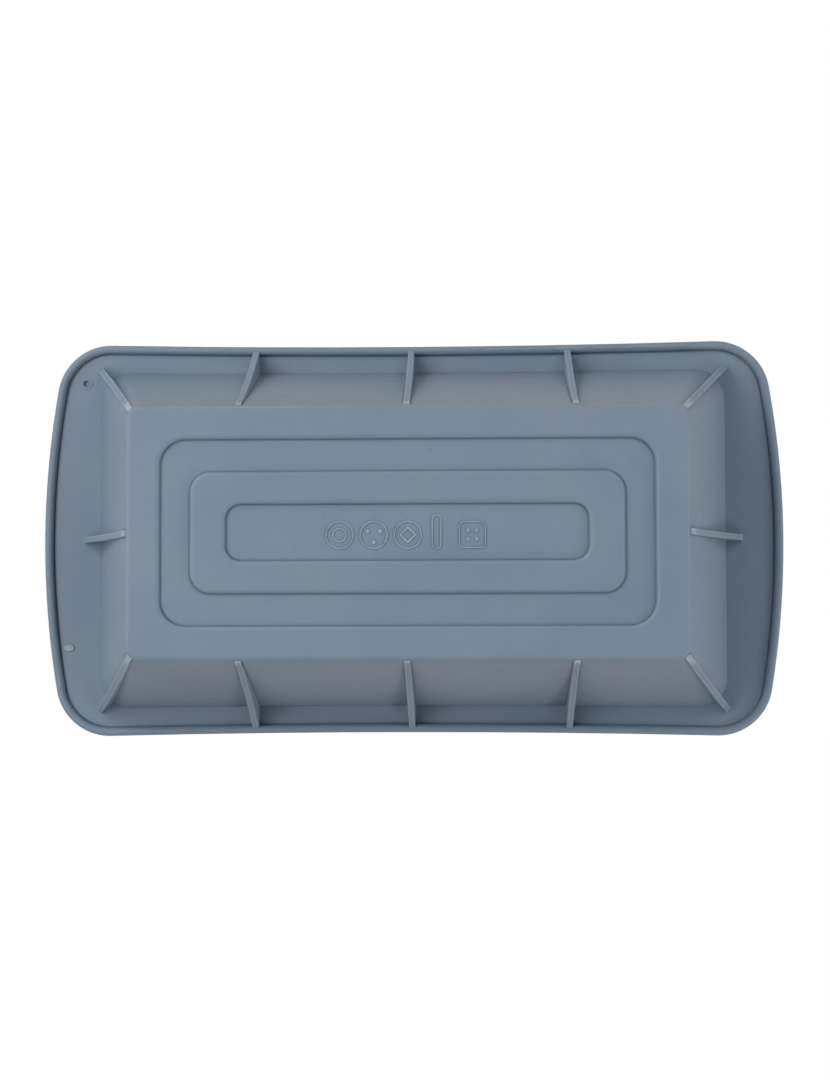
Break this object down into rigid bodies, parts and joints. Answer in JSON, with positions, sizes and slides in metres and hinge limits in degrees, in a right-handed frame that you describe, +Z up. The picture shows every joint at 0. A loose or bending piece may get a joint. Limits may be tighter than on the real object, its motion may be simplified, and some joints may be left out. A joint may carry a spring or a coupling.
{
  "type": "silicone soap mould",
  "caption": "Rectangular silicone loaf mould for soap, with tapered walls, a stepped floor, gusset ribs and wide grips at the short ends.",
  "frame": {"origin": "middle of the base, on the surface that the mould stands on", "axes": "+Z up, out of the open mouth; +X along the mould's length; +Y across it"},
  "size_m": [0.285, 0.1516, 0.06],
  "materials": {
    "silicone": "satin-matt moulded silicone"
  },
  "bodies": {
    "root": {"bottom_marks": "silicone", "corner_rib_back_left": "silicone", "corner_rib_back_right": "silicone", "corner_rib_front_left": "silicone", "corner_rib_front_right": "silicone", "end_grip_left": "silicone", "end_grip_right": "silicone", "end_rib_left": "silicone", "end_rib_right": "silicone", "end_wall_left": "silicone", "end_wall_right": "silicone", "flange_back": "silicone", "flange_front": "silicone", "floor_panel": "silicone", "gate_mark": "silicone", "lip_back": "silicone", "lip_front": "silicone", "lip_left": "silicone", "lip_right": "silicone", "long_rib_back_left": "silicone", "long_rib_back_middle": "silicone", "long_rib_back_right": "silicone", "long_rib_front_left": "silicone", "long_rib_front_middle": "silicone", "long_rib_front_right": "silicone", "long_wall_back": "silicone", "long_wall_front": "silicone", "rim_corner_back_left": "silicone", "rim_corner_back_right": "silicone", "rim_corner_front_left": "silicone", "rim_corner_front_right": "silicone", "wall_corner_back_left": "silicone", "wall_corner_back_right": "silicone", "wall_corner_front_left": "silicone", "wall_corner_front_right": "silicone"}
  },
  "joints": []
}
